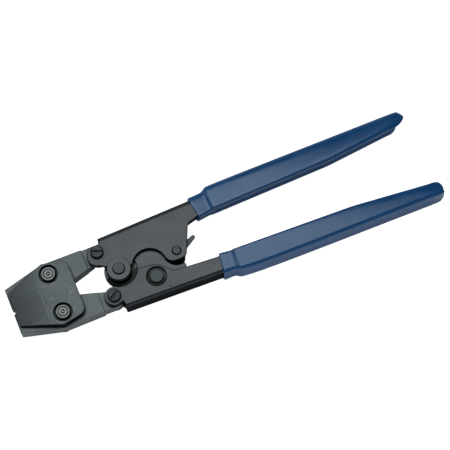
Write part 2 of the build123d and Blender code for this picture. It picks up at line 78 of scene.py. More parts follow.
joint_at = {joint["name"]: Vector(joint["pos_m"]) for joint in frame["joints"]}
pivot = joint_at["handle_pivot"]
ratchet_at = sum(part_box("ratchet_pin"), Vector()) / 2
jaw_pin_at = sum(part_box("upper_jaw_pin"), Vector()) / 2
MM = 0.001

# Edges: what counts as flat, as a corner and as broad, and how corners are rounded
MERGE = 0.002 * MM
FLAT = radians(0.4)
CORNER = radians(32)
SHADE_ANGLE = radians(38)
BROAD = 1.5 * MM
ROUND_STEPS = 3

# Turned jaw pins: rings as shares of the radius, and the sharpness that lets them show
RING_SHARES = (0.22, 0.66)
RING_GROOVE = 0.12 * MM
RING_FLANK = 0.45 * MM
RING_ANGLE = radians(9)
PIN_CHAMFER = 0.45 * MM
TURN_STEPS = 72

# Camera, read from the photograph's view of the tool
VIEW_TARGET = Vector((3.75, 4.7, 10.9)) * MM
VIEW_DISTANCE = 1139.0 * MM
VIEW_TILT = radians(19.04)
VIEW_TURN = radians(22.4)
LENS_MM = 122.3
SENSOR_MM = 36.0

# Lights: both hang at one distance and one turn
LIGHT_DISTANCE = 1.15
LIGHT_TURN = radians(30)
LIGHT_COLOUR = (0.96, 0.99, 1.0)
SOFTBOX_SIZE = (0.645, 0.635)
SOFTBOX_SHIFT = (-0.116, -0.149)
SOFTBOX_WATTS = 3.91
CARD_SIZE = (0.6, 0.5)
CARD_SHIFT = (-0.98, -0.2)
CARD_WATTS = 1.5

# Room: a band of wall between two heights, each the sine of the angle above the bench
ROOM_COLOUR = (0.95, 0.98, 1.0, 1.0)
ROOM_DIM = 0.07
ROOM_WALL = 0.75
ROOM_PALE = 0.97
WALL_FOOT = (0.12, 0.22)
WALL_TOP = (0.64, 0.5)

# Bench paper: it glows a little near the tool, less where the tool shelters it
FLOOR_HALF = 6.0
FLOOR_GLOW = 0.97
PAPER_GREY = (0.86, 0.86, 0.86, 1.0)
PAPER_LIGHT = (1.0, 1.0, 1.0, 1.0)
PAPER_ROUGH = 0.9
PAPER_GLOW = 0.46
PAPER_NEAR = 0.16
PAPER_FAR = 0.34
PAPER_SHADE = 30.0 * MM
PAPER_SHADE_POWER = 7.0
PAPER_SAMPLES = 8

# Finishes: scales are cycles to the metre, and a span says where a mask is 0 and where it is 1
SPECKLE = 2600.0
SPECKLE_DETAIL = 3.0
CLOUD = 60.0
CLOUD_DETAIL = 4.0
CLOUD_SPAN = (0.3, 0.7)
# Painted shade in crevices: how far the occlusion reaches, its span and its samples
PAINTED_SHADE_REACH = 4.0 * MM
PAINTED_SHADE_SPAN = (0.82, 0.30)
PAINTED_SHADE_SAMPLES = 12
WEAR_RADIUS = 0.5 * MM
WEAR_SPAN = (0.995, 0.93)
WEAR_SAMPLES = 6
SIDE_SPAN = (0.6, 0.25)
# Nose ridge line: partly rubbed wear, partly a painted highlight
RIDGE_X = 59.8 * MM
RIDGE_HALF = 0.7 * MM
RIDGE_RUB_AND_GLINT = 0.26
# Painted shade in the jaw pins' turning grooves: its pitch and span
RING_PITCH = 2.3 * MM
RING_SHADE_SPAN = (0.5, -0.8)
STEEL_ROUGH_EASE = 0.06
STEEL_BUMP = 0.1
STEEL_BUMP_DEPTH = 0.05 * MM
STEEL_TINT = (0.35, 0.35, 0.35, 1.0)
VINYL_SPECKLE = 900.0
VINYL_CLOUD = 45.0
VINYL_ROUGH = (0.15, 0.22)
VINYL_IOR = 1.5
VINYL_BUMP = 0.03
VINYL_BUMP_DEPTH = 1.0 * MM
VINYL_TINT = (0.85, 0.98, 1.0, 1.0)

# Patches that break a mark up: scale, detail and span
WEAR_PATCHES = (160.0, 3.0, (0.34, 0.66))
RIDGE_PATCHES = (90.0, 2.0, (0.3, 0.6))
RING_PATCHES = (520.0, 3.0, (0.38, 0.6))

# Scratches along and across: scale, stretch and span
SCRATCH_DETAIL = 1.0
SCRATCHES = (
    (110.0, (1.0, 40.0, 1.0), (0.69, 0.74)),
    (100.0, (36.0, 1.6, 1.0), (0.70, 0.75)),
)

# Vinyl grips, in millimetres about the centre pivot, drawn on the upper side
VINYL = 1.3
VINYL_WALL = 1.25
GRIP_WALL = 7.4
GRIP_HALF = 10.86
NECK_HALF = 9.5
SPINE_Y = 29.0
SPINE_SLOPE = tan(radians(1.7))
GRIP_SLOPE = tan(radians(0.44))
FLANGE_SLOPE = tan(radians(1.6))
NECK_X = 68.0
JOGGLE_X = 81.0
JOGGLE_HALF = 4.5
JOGGLE_STEP = 3.5
FLANGE_IN = 18.8
TAPER_X = 178.0
TAPER_EASE = 4.0
END_IN = 27.6
END_COVER = 3.5
END_LENGTH = 6.2
END_SLANT = 9.5
END_CHEEK = 0.45
END_HEM = 0.8
END_INSET = 0.4
END_CROWN = 0.3
END_HOLD = 0.8
DIP_X = 68.3
DIP_SLANT = tan(radians(7.5))
LIP = 1.2
LIP_ROLL = 0.5
HEM = 2.2
HEM_GROW = 1.8
HEM_CREASE = 0.3
EDGE_DROP = 0.8
CROWN = 0.05
CROWN_RISE = 1.1
SHOULDER_EASE = 1.0
SPINE_CORNERS = (3, 5)
FOLD_STEPS = 3
MOUTH_FACING = -0.8
SOFT_LEVELS = 2

# The neck's flat ends and the grip's flat starts at these places from the joggle's middle, for the
# spine and for the free edges. An end lists how far heel, hem, cheek and spine corner stay back.
Handle = namedtuple(
    "Handle",
    "name reach shift neck_front neck_rear skew side "
    "neck_ends grip_starts bend front_end rear_end spine_back",
)
UPPER = Handle(
    "upper", 242.2, -1.6, 16.0, 19.4, 1.15, 1, (-0.6, 0.4), (1.9, 2.2), 3.8,
    (9.2, 3.8, -2.0, 2.6), (10.2, 5.6, 2.6, 3.6), 0.8,
)
LOWER = Handle(
    "lower", 247.2, 1.6, 18.4, 18.4, 0.0, -1, (-3.2, -1.4), (-0.4, 0.7), 2.4,
    (5.2, 1.2, 0.1, 1.4), (6.4, 2.2, 0.8, 1.8), 0.0,
)


def srgb(red, green, blue):
    """A display colour, 0 to 255, as the linear colour that a shader takes."""
    parts = []
    for value in (red, green, blue):
        value /= 255
        parts.append(value / 12.92 if value <= 0.04045 else ((value + 0.055) / 1.055) ** 2.4)
    return (*parts, 1.0)


# Painted shade colours: the first for crevices, the second for spots under the pivot hub and round the
# ratchet pin
PAINTED_SHADE_BLACK = srgb(24, 28, 28)
SPOT_SHADE_COLOUR = srgb(28, 32, 27)
VINYL_DARK = srgb(13, 72, 125)
VINYL_LIGHT = srgb(16, 77, 131)
# Spots of painted shade: on the low side of the pivot hub's recess, and round the ratchet pin
SHADE_SPOTS = (
    {"X": pivot.x, "Y": pivot.y, "Radius": 14.0 * MM, "Depth": 4.4 * MM, "Low": -2.0 * MM},
    {"X": ratchet_at.x, "Y": ratchet_at.y, "Radius": 7.4 * MM},
)


# Shader building blocks


def math(tree, operation, first, second):
    """A Math node; each side is a socket or a number."""
    node = tree.nodes.new("ShaderNodeMath")
    node.operation = operation
    for slot, value in zip(node.inputs, (first, second)):
        if isinstance(value, (int, float)):
            slot.default_value = value
        else:
            tree.links.new(value, slot)
    return node.outputs[0]


def apart(tree, value, middle):
    """How far a value lies from a middle, to either side."""
    return math(tree, "ABSOLUTE", math(tree, "SUBTRACT", value, middle), 0.0)


def diagonal(tree, across, along):
    """The straight distance of a step across and a step along."""
    across_square = math(tree, "MULTIPLY", across, across)
    along_square = math(tree, "MULTIPLY", along, along)
    return math(tree, "POWER", math(tree, "ADD", across_square, along_square), 0.5)


def split(tree, vector):
    """The X, Y and Z sockets of a vector."""
    parts = tree.nodes.new("ShaderNodeSeparateXYZ")
    tree.links.new(vector, parts.inputs["Vector"])
    return parts.outputs


def object_place(tree):
    """A point's place on its own piece, as a vector."""
    return tree.nodes.new("ShaderNodeTexCoord").outputs["Object"]


def ramp(tree, source, low, high):
    """Stretches a mask so that it runs from 0 at low to 1 at high."""
    node = tree.nodes.new("ShaderNodeMapRange")
    node.interpolation_type = "SMOOTHSTEP"
    node.inputs["From Min"].default_value = low
    node.inputs["From Max"].default_value = high
    tree.links.new(source, node.inputs["Value"])
    return node.outputs["Result"]


def noise(tree, scale, detail, stretch=None):
    """Noise on Object coordinates; its scale is a socket or a number."""
    source = object_place(tree)
    if stretch:
        mapping = tree.nodes.new("ShaderNodeMapping")
        mapping.inputs["Scale"].default_value = stretch
        tree.links.new(source, mapping.inputs["Vector"])
        source = mapping.outputs["Vector"]
    node = tree.nodes.new("ShaderNodeTexNoise")
    node.inputs["Detail"].default_value = detail
    tree.links.new(source, node.inputs["Vector"])
    if isinstance(scale, (int, float)):
        node.inputs["Scale"].default_value = scale
    else:
        tree.links.new(scale, node.inputs["Scale"])
    return node.outputs["Fac"]


def patches(tree, scale, detail, span):
    """Irregular patches that break a mark up."""
    return ramp(tree, noise(tree, scale, detail), *span)


def blend_colour(tree, mask, first, second):
    """Mixes two colours, each a socket or a constant, by a mask."""
    node = tree.nodes.new("ShaderNodeMix")
    node.data_type = "RGBA"
    tree.links.new(mask, node.inputs["Factor"])
    for label, value in (("A", first), ("B", second)):
        socket = [slot for slot in node.inputs if slot.name == label and slot.type == "RGBA"][0]
        if isinstance(value, tuple):
            socket.default_value = value
        else:
            tree.links.new(value, socket)
    return [slot for slot in node.outputs if slot.type == "RGBA"][0]


def blend_value(tree, mask, first, second):
    """Runs a value from first, where the mask is 0, to second, where it is 1."""
    node = tree.nodes.new("ShaderNodeMapRange")
    node.inputs["To Min"].default_value = first
    node.inputs["To Max"].default_value = second
    tree.links.new(mask, node.inputs["Value"])
    return node.outputs["Result"]


def bump(tree, height, strength, distance):
    """A bump normal from a height mask."""
    node = tree.nodes.new("ShaderNodeBump")
    node.inputs["Strength"].default_value = strength
    node.inputs["Distance"].default_value = distance
    tree.links.new(height, node.inputs["Height"])
    return node.outputs["Normal"]


# Shared shader groups


def new_group(name, inputs, outputs):
    """An empty shader group with named float inputs and outputs: the group, and what goes in and out."""
    group = bpy.data.node_groups.new(name, "ShaderNodeTree")
    for label, value in inputs:
        socket = group.interface.new_socket(label, in_out="INPUT", socket_type="NodeSocketFloat")
        socket.default_value = value
    for label in outputs:
        group.interface.new_socket(label, in_out="OUTPUT", socket_type="NodeSocketFloat")
    source = group.nodes.new("NodeGroupInput")
    sink = group.nodes.new("NodeGroupOutput")
    return group, source.outputs, sink.inputs


def make_grain_group():
    """Fine speckle with a slower cloud through it, for sheet, castings and vinyl."""
    scales = [("Speckle", SPECKLE), ("Cloud", CLOUD)]
    group, given, result = new_group("surface_grain", scales, ["Grain", "Clouds"])
    group.links.new(noise(group, given["Speckle"], SPECKLE_DETAIL), result["Grain"])
    group.links.new(noise(group, given["Cloud"], CLOUD_DETAIL), result["Clouds"])
    return group


def make_crevice_shade_group():
    """Painted shade: corners, slots and gaps that little light reaches, darkened by ambient occlusion."""
    group, given, result = new_group("crevice_grime", [("Reach", PAINTED_SHADE_REACH)], ["Grime"])
    shelter = group.nodes.new("ShaderNodeAmbientOcclusion")
    shelter.samples = PAINTED_SHADE_SAMPLES
    group.links.new(given["Reach"], shelter.inputs["Distance"])
    group.links.new(ramp(group, shelter.outputs["AO"], *PAINTED_SHADE_SPAN), result["Grime"])
    return group


def make_shade_spot_group():
    """A round spot of painted shade, on what lies close to the mid plane and on the low side, where the
    hub's shade falls.
    """
    spot = [("X", 0.0), ("Y", 0.0), ("Radius", 10.0 * MM), ("Depth", 20.0 * MM), ("Low", 20.0 * MM)]
    group, given, result = new_group("grease_spot", spot, ["Grease"])
    place = split(group, object_place(group))
    across = math(group, "SUBTRACT", place["X"], given["X"])
    along = math(group, "SUBTRACT", place["Y"], given["Y"])
    inside = math(group, "LESS_THAN", diagonal(group, across, along), given["Radius"])
    deep = math(group, "LESS_THAN", apart(group, place["Z"], pivot.z), given["Depth"])
    low = math(group, "LESS_THAN", along, given["Low"])
    spot_shade = math(group, "MULTIPLY", math(group, "MULTIPLY", inside, deep), low)
    group.links.new(spot_shade, result["Grease"])
    return group


def make_wear_group():
    """Where edges are rubbed bright: close to a corner, broken up by noise."""
    group, given, result = new_group("edge_wear", [("Amount", 0.2)], ["Wear"])
    rounded = group.nodes.new("ShaderNodeBevel")
    rounded.samples = WEAR_SAMPLES
    rounded.inputs["Radius"].default_value = WEAR_RADIUS
    geometry = group.nodes.new("ShaderNodeNewGeometry")
    turned = group.nodes.new("ShaderNodeVectorMath")
    turned.operation = "DOT_PRODUCT"
    group.links.new(rounded.outputs["Normal"], turned.inputs[0])
    group.links.new(geometry.outputs["Normal"], turned.inputs[1])
    edge = ramp(group, turned.outputs["Value"], *WEAR_SPAN)
    broken = math(group, "MULTIPLY", edge, patches(group, *WEAR_PATCHES))
    group.links.new(math(group, "MULTIPLY", broken, given["Amount"]), result["Wear"])
    return group


def make_scratch_group():
    """Short fine scratches in two directions."""
    group, given, result = new_group("fine_scratches", [("Amount", 0.5)], ["Scratch"])
    lines = []
    for scale, stretch, span in SCRATCHES:
        lines.append(ramp(group, noise(group, scale, SCRATCH_DETAIL, stretch), *span))
    both = math(group, "MAXIMUM", *lines)
    group.links.new(math(group, "MULTIPLY", both, given["Amount"]), result["Scratch"])
    return group


def make_side_group():
    """The upright sides of a piece that lies flat."""
    group, _, result = new_group("upright_sides", [], ["Side"])
    geometry = group.nodes.new("ShaderNodeNewGeometry")
    rise = math(group, "ABSOLUTE", split(group, geometry.outputs["Normal"])["Z"], 0.0)
    group.links.new(ramp(group, rise, *SIDE_SPAN), result["Side"])
    return group


GRAIN = make_grain_group()
SIDE = make_side_group()
CREVICE_SHADE = make_crevice_shade_group()
SHADE_SPOT = make_shade_spot_group()
WEAR = make_wear_group()
SCRATCH = make_scratch_group()


def use(tree, group, **values):
    """Places a shared group in a material with its own values, and gives its outputs."""
    node = tree.nodes.new("ShaderNodeGroup")
    node.node_tree = group
    for label, value in values.items():
        node.inputs[label].default_value = value
    return node.outputs


# Finishes


def new_material(name):
    """A material with only its Principled shader: the material, its tree and the shader's inputs."""
    material = bpy.data.materials.new(name)
    material.use_nodes = True
    return material, material.node_tree, material.node_tree.nodes["Principled BSDF"].inputs


def ridge_rub_and_highlight(tree):
    """A narrow lighter line along the plates' nose ridge, broken up here and there: partly rubbed wear,
    partly a painted highlight along the ridge.
    """
    place = split(tree, object_place(tree))
    line = ramp(tree, apart(tree, place["X"], pivot.x - RIDGE_X), RIDGE_HALF, 0.0)
    broken = math(tree, "MULTIPLY", line, patches(tree, *RIDGE_PATCHES))
    return math(tree, "MULTIPLY", broken, RIDGE_RUB_AND_GLINT)


def groove_shade_rings(tree):
    """Rings of painted shade in the turning grooves of the two jaw pins, which mirror each other."""
    place = split(tree, object_place(tree))
    across = math(tree, "SUBTRACT", place["X"], jaw_pin_at.x)
    along = math(tree, "SUBTRACT", apart(tree, place["Y"], pivot.y), jaw_pin_at.y - pivot.y)
    turns = math(tree, "MULTIPLY", diagonal(tree, across, along), 2 * pi / RING_PITCH)
    grooves = ramp(tree, math(tree, "COSINE", turns, 0.0), *RING_SHADE_SPAN)
    return math(tree, "MULTIPLY", grooves, patches(tree, *RING_PATCHES))


def steel_finish(
    name, dark, light, worn, rough, wear=0.2, scratch=0.06, side=None, rings=None, spot_shade=(), ridge=False,
):
    """A dark steel: faintly clouded, rubbed at its edges, scratched, and blackened in its crevices with
    painted shade.

    A side colour lightens the upright sides, a rings colour paints shade into the turning grooves of
    pins, and a list of spots paints shade on the low side of the pivot hub and round the ratchet pin.
    """
    material, tree, shader = new_material(name)
    grained = use(tree, GRAIN)
    clouds = ramp(tree, grained["Clouds"], *CLOUD_SPAN)
    colour = blend_colour(tree, clouds, dark, light)
    if side:
        # The upright sides take the side colour, lighter than the faces.
        colour = blend_colour(tree, use(tree, SIDE)["Side"], colour, side)
    rubbed = use(tree, WEAR, Amount=wear)["Wear"]
    scratched = use(tree, SCRATCH, Amount=scratch)["Scratch"]
    marks = math(tree, "MAXIMUM", rubbed, scratched)
    # Partly rubbed wear and partly a painted highlight along the nose ridge.
    if ridge:
        marks = math(tree, "MAXIMUM", marks, ridge_rub_and_highlight(tree))
    colour = blend_colour(tree, marks, colour, worn)
    # Painted shade: dark rings laid in the pins' turning grooves.
    if rings:
        colour = blend_colour(tree, groove_shade_rings(tree), colour, rings)
    # Painted shade: dark spots in the hub recess and round the ratchet pin.
    for spot in spot_shade:
        colour = blend_colour(tree, use(tree, SHADE_SPOT, **spot)["Grease"], colour, SPOT_SHADE_COLOUR)
    # Painted shade: corners, slots and gaps that the occlusion finds are blackened.
    colour = blend_colour(tree, use(tree, CREVICE_SHADE)["Grime"], colour, PAINTED_SHADE_BLACK)
    tree.links.new(colour, shader["Base Color"])
    roughness = blend_value(tree, grained["Grain"], rough - STEEL_ROUGH_EASE, rough + STEEL_ROUGH_EASE)
    tree.links.new(roughness, shader["Roughness"])
    shader["Metallic"].default_value = 1.0
    shader["Specular Tint"].default_value = STEEL_TINT
    tree.links.new(bump(tree, grained["Grain"], STEEL_BUMP, STEEL_BUMP_DEPTH), shader["Normal"])
    return material


def vinyl_finish(name):
    """Glossy dipped vinyl: deep blue, with slow waves and faint handling marks in its gloss."""
    material, tree, shader = new_material(name)
    grained = use(tree, GRAIN, Speckle=VINYL_SPECKLE, Cloud=VINYL_CLOUD)
    clouds = ramp(tree, grained["Clouds"], *CLOUD_SPAN)
    tree.links.new(blend_colour(tree, clouds, VINYL_DARK, VINYL_LIGHT), shader["Base Color"])
    tree.links.new(blend_value(tree, clouds, *VINYL_ROUGH), shader["Roughness"])
    shader["IOR"].default_value = VINYL_IOR
    shader["Specular Tint"].default_value = VINYL_TINT
    tree.links.new(bump(tree, grained["Clouds"], VINYL_BUMP, VINYL_BUMP_DEPTH), shader["Normal"])
    return material


FINISH = {
    "frame_steel": steel_finish(
        "frame_steel", srgb(63, 66, 69), srgb(68, 71, 74), srgb(106, 110, 112), 0.36,
    ),
    "plate_steel": steel_finish(
        "plate_steel", srgb(63, 67, 69), srgb(68, 73, 75), srgb(122, 126, 127), 0.32,
        wear=0.4, scratch=0.6, ridge=True,
    ),
    "jaw_steel": steel_finish(
        "jaw_steel", srgb(73, 78, 80), srgb(77, 82, 84), srgb(126, 129, 130), 0.36,
        wear=0.4, side=srgb(166, 171, 174),
    ),
    "dark_steel": steel_finish(
        "dark_steel", srgb(63, 66, 68), srgb(67, 70, 72), srgb(100, 102, 101), 0.34,
        spot_shade=SHADE_SPOTS,
    ),
    "screw_steel": steel_finish(
        "screw_steel", srgb(53, 57, 57), srgb(58, 62, 62), srgb(92, 94, 93), 0.34,
    ),
    "bright_steel": steel_finish(
        "bright_steel", srgb(86, 90, 90), srgb(96, 99, 98), srgb(130, 132, 130), 0.28,
        rings=srgb(62, 66, 62),
    ),
    "spring_steel": steel_finish(
        "spring_steel", srgb(92, 93, 93), srgb(104, 105, 105), srgb(140, 140, 140), 0.3,
    ),
    "blue_vinyl": vinyl_finish("blue_vinyl"),
}


# Pieces


def crease(shape, shade_angle=SHADE_ANGLE):
    """Marks corners sharp, and the shallow ridges where two broad flats meet."""
    width = {}
    for face in shape.faces:
        width[face] = face.calc_area() / max(edge.calc_length() for edge in face.edges)
    for edge in shape.edges:
        if edge.is_manifold:
            turn = edge.calc_face_angle()
            ridge = turn > FLAT and min(width[face] for face in edge.link_faces) > BROAD
            edge.smooth = turn < shade_angle and not ridge


def add_piece(name, shape, node, rides=True):
    """Turns a bmesh into the piece that stands for a node, on the node's body and in its finish."""
    for face in shape.faces:
        face.smooth = True
    mesh = bpy.data.meshes.new(name)
    shape.to_mesh(mesh)
    shape.free()
    mesh.materials.append(FINISH[slot_of[node]])
    piece = bpy.data.objects.new(name, mesh)
    bpy.context.scene.collection.objects.link(piece)
    if rides:
        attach(piece, nodes[node]["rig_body"])
    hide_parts(node)
    return piece


def keep_flats_flat(piece):
    """Weights the shading by face area, so that flats stay flat beside rounded edges."""
    weighting = piece.modifiers.new("flat_shading", "WEIGHTED_NORMAL")
    weighting.keep_sharp = True


def node_copy(node):
    """A merged copy of a node's mesh."""
    shape = bmesh.new()
    shape.from_mesh(nodes[node].data)
    bmesh.ops.remove_doubles(shape, verts=shape.verts, dist=MERGE)
    return shape


def room_beside(edge):
    """How long the smaller of an edge's two faces is."""
    return min(max(side.calc_length() for side in face.edges) for face in edge.link_faces)


def deburred(node, width):
    """A copy of a node with its corners broken by a small round."""
    shape = node_copy(node)
    bmesh.ops.dissolve_limit(shape, angle_limit=FLAT, verts=shape.verts, edges=shape.edges)
    convex = [edge for edge in shape.edges if edge.is_manifold and edge.is_convex]
    corners = [edge for edge in convex if edge.calc_face_angle() > CORNER and room_beside(edge) > 2 * width]
    bmesh.ops.bevel(
        shape, geom=corners, offset=width, offset_type="OFFSET", affect="EDGES",
        segments=ROUND_STEPS, profile=0.5, clamp_overlap=False, material=-1,
    )
    crease(shape)
    keep_flats_flat(add_piece(node + "_deburred", shape, node))


def turned_pin(node):
    """A lathe-turned pin with chamfered ends and shallow turning rings on both faces."""
    low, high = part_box(node)
    axis = (low + high) / 2
    radius = (high.x - low.x) / 2
    half = (high.z - low.z) / 2
    profile = [(0.0, half)]
    for share in RING_SHARES:
        at = share * radius
        profile += [(at - RING_FLANK, half), (at, half - RING_GROOVE), (at + RING_FLANK, half)]
    profile += [(radius - PIN_CHAMFER, half), (radius, half - PIN_CHAMFER)]
    profile += [(distance, -height) for distance, height in reversed(profile)]
    shape = bmesh.new()
    verts = []
    for distance, height in profile:
        verts.append(shape.verts.new((axis.x + distance, axis.y, axis.z + height)))
    edges = [shape.edges.new(pair) for pair in zip(verts, verts[1:])]
    bmesh.ops.spin(
        shape, geom=verts + edges, cent=axis, axis=(0, 0, 1), dvec=(0, 0, 0),
        angle=radians(360), steps=TURN_STEPS, use_merge=True, use_duplicate=False,
    )
    bmesh.ops.remove_doubles(shape, verts=shape.verts, dist=MERGE)
    bmesh.ops.recalc_face_normals(shape, faces=shape.faces)
    crease(shape, RING_ANGLE)
    keep_flats_flat(add_piece(node + "_turned", shape, node))


def coiled_spring(node):
    """The pawl's spring: a merged copy of its wire, left on no body and fixed where it stands."""
    piece = add_piece(node + "_wire", node_copy(node), node, rides=False)
    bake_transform(piece)


# Vinyl grips


def joggle(x, handle):
    """Zero on the neck, one on the grip, with an easy curve between."""
    along = (x - JOGGLE_X - handle.shift) / (2 * JOGGLE_HALF) + 0.5
    along = min(max(along, 0.0), 1.0)
    return along * along * (3 - 2 * along)


def grip_out(x, handle):
    """Outer face of a grip's spine."""
    bend = JOGGLE_X + handle.shift
    neck = SPINE_Y + x * SPINE_SLOPE
    gripped = SPINE_Y + bend * SPINE_SLOPE + JOGGLE_STEP + (x - bend) * GRIP_SLOPE
    return neck + (gripped - neck) * joggle(x, handle) + VINYL


def flange_edge(x, handle, neck_in, skew):
    """Free edge of one side of a grip."""
    bend = JOGGLE_X + handle.shift - JOGGLE_HALF
    first = FLANGE_IN + skew
    if x < bend:
        return neck_in + (first - neck_in) * max(0.0, x - NECK_X) / (bend - NECK_X) - VINYL
    straight = first + (min(x, TAPER_X) - bend) * FLANGE_SLOPE
    tapered = max(0.0, x - TAPER_X) / (handle.reach - END_COVER - TAPER_X)
    return straight + (END_IN + skew - straight) * min(tapered, 1.0) - VINYL


def spine_limit(handle):
    """How far from the pivot the frame lets a grip's spine stand."""
    low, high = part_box(handle.name + "_grip")
    return max(high.y - pivot.y, pivot.y - low.y) / MM


def thickening(x, handle):
    """Zero where a grip starts and one at its end, where the dip ran down and left it rounder."""
    start = JOGGLE_X + handle.shift
    return max(0.0, (x - start) / (handle.reach - start)) ** 2


def grip_ring(handle, half, spine_x, edge_x, crown=CROWN, roll=0.0):
    """A grip's outer section: rear edge, hem and cheek, the spine, then front cheek, hem and edge.

    The spine and the free edges may stand at different places along the handle, the spine is
    crowned, and a roll makes the vinyl thicker.
    """
    half += roll
    rear = flange_edge(edge_x, handle, handle.neck_rear, handle.skew) - roll
    front = flange_edge(edge_x, handle, handle.neck_front, -handle.skew) - roll
    hem = HEM + HEM_GROW * thickening(edge_x, handle)
    low = half - EDGE_DROP * thickening(edge_x, handle)
    out = grip_out(spine_x, handle) + roll
    top = min(out + CROWN_RISE, spine_limit(handle)) if crown else out
    bend = out - handle.bend
    cheek_x = (spine_x + edge_x) / 2
    return [
        (edge_x, rear, -low), (edge_x, rear + hem, -half), (cheek_x, (rear + hem + bend) / 2, -half),
        (spine_x, out - crown, -half), (spine_x, top, 0.0), (spine_x, out - crown, half),
        (cheek_x, (front + hem + bend) / 2, half), (edge_x, front + hem, half), (edge_x, front, low),
    ]


def end_side(handle, backs, neck_in, skew, half):
    """One side of a grip's end: its heel on the free edge, the hem, the cheek and the spine corner."""
    heel_x, hem_x, cheek_x, corner_x = [handle.reach - back for back in backs]
    edge = flange_edge(heel_x, handle, neck_in, skew)
    out = grip_out(corner_x, handle) - END_CROWN
    low = half - EDGE_DROP if half > 0 else half + EDGE_DROP
    cheek = edge + END_CHEEK * (out - edge)
    return [(heel_x, edge, low), (hem_x, edge + END_HEM, low), (cheek_x, cheek, half), (corner_x, out, half)]


def end_ring(handle):
    """The last section, drawn in all round and slanting back to the heels of the free edges."""
    half = GRIP_HALF - END_INSET
    rear = end_side(handle, handle.rear_end, handle.neck_rear, handle.skew, -half)
    front = end_side(handle, handle.front_end, handle.neck_front, -handle.skew, half)
    spine_x = handle.reach - handle.spine_back
    return [*rear, (spine_x, grip_out(spine_x, handle) - END_CROWN, 0.0), *reversed(front)]


def grip_rings(handle):
    """Sections of a grip from its dipped lip to its end."""
    bend = JOGGLE_X + handle.shift
    dip = DIP_X + handle.shift
    dip_edge = flange_edge(dip, handle, handle.neck_front, -handle.skew)
    dip_back = DIP_SLANT * (grip_out(dip, handle) - dip_edge)
    neck_spine, neck_edge = [bend + place for place in handle.neck_ends]
    grip_spine, grip_edge = [bend + place for place in handle.grip_starts]
    rings = [
        grip_ring(handle, NECK_HALF, dip, dip + dip_back, 0.0, LIP_ROLL),
        grip_ring(handle, NECK_HALF, dip + LIP, dip + dip_back + LIP, 0.0, LIP_ROLL),
        grip_ring(handle, NECK_HALF, neck_spine - SHOULDER_EASE, neck_edge - SHOULDER_EASE, 0.0),
        grip_ring(handle, NECK_HALF, neck_spine, neck_edge, 0.0),
        grip_ring(handle, GRIP_HALF, grip_spine, grip_edge),
        grip_ring(handle, GRIP_HALF, grip_spine + SHOULDER_EASE, grip_edge + SHOULDER_EASE),
    ]
    for x in (bend + 4 * JOGGLE_HALF, TAPER_X - TAPER_EASE, TAPER_X, TAPER_X + TAPER_EASE):
        rings.append(grip_ring(handle, GRIP_HALF, x, x))
    last = handle.reach - END_LENGTH
    rings.append(grip_ring(handle, GRIP_HALF, last - END_SLANT, last - 2 * END_SLANT))
    before = grip_ring(handle, GRIP_HALF, last, last - END_SLANT)
    end = end_ring(handle)
    held = [tuple(Vector(a).lerp(Vector(b), END_HOLD)) for a, b in zip(before, end)]
    return rings + [before, held, end]


def placed(point, handle):
    """A point about the centre pivot, in millimetres, as a place in the frame."""
    x, y, z = point
    return pivot + Vector((x, handle.side * y, z)) * MM


def extrude_row(shape, row, points):
    """Extrudes an open row of vertices and sets the new row on the given points."""
    edges = [shape.edges.get(pair) for pair in zip(row, row[1:])]
    grown = bmesh.ops.extrude_edge_only(shape, edges=edges)["geom"]
    fresh = {item for item in grown if isinstance(item, bmesh.types.BMVert)}
    following = []
    for vert, point in zip(row, points):
        partner = [edge.other_vert(vert) for edge in vert.link_edges if edge.other_vert(vert) in fresh][0]
        partner.co = point
        following.append(partner)
    return following


def vinyl_grip(handle):
    """A dipped sleeve: a folded sheet run along the handle, thickened, hollowed and rounded all over."""
    node = handle.name + "_grip"
    rings = [[placed(point, handle) for point in ring] for ring in grip_rings(handle)]
    shape = bmesh.new()
    row = [shape.verts.new(point) for point in rings[0]]
    for pair in zip(row, row[1:]):
        shape.edges.new(pair)
    firmness = shape.edges.layers.float.new("crease_edge")
    folds = []
    for points in rings[1:]:
        following = extrude_row(shape, row, points)
        folds += [shape.edges.get((row[corner], following[corner])) for corner in SPINE_CORNERS]
        for edge in (0, -1):
            shape.edges.get((row[edge], following[edge]))[firmness] = HEM_CREASE
        row = following
    bmesh.ops.bevel(
        shape, geom=folds, offset=handle.bend * MM, offset_type="OFFSET", affect="EDGES",
        segments=FOLD_STEPS, profile=0.5, clamp_overlap=False, material=-1,
    )
    bmesh.ops.recalc_face_normals(shape, faces=shape.faces)
    top = max(shape.faces, key=lambda face: face.calc_center_median().z)
    if top.normal.z < 0:
        bmesh.ops.reverse_faces(shape, faces=shape.faces)
    bmesh.ops.solidify(shape, geom=shape.faces, thickness=GRIP_WALL * MM)
    mouth = [face for face in shape.faces if face.normal.x < MOUTH_FACING]
    bmesh.ops.delete(shape, geom=mouth, context="FACES")
    piece = add_piece(node + "_dipped", shape, node)
    wall = piece.modifiers.new("wall", "SOLIDIFY")
    wall.thickness = VINYL_WALL * MM
    wall.offset = -1.0
    rounding = piece.modifiers.new("rounding", "SUBSURF")
    rounding.levels = SOFT_LEVELS
    rounding.render_levels = SOFT_LEVELS


# What each piece is made from, with the round on its edges in millimetres

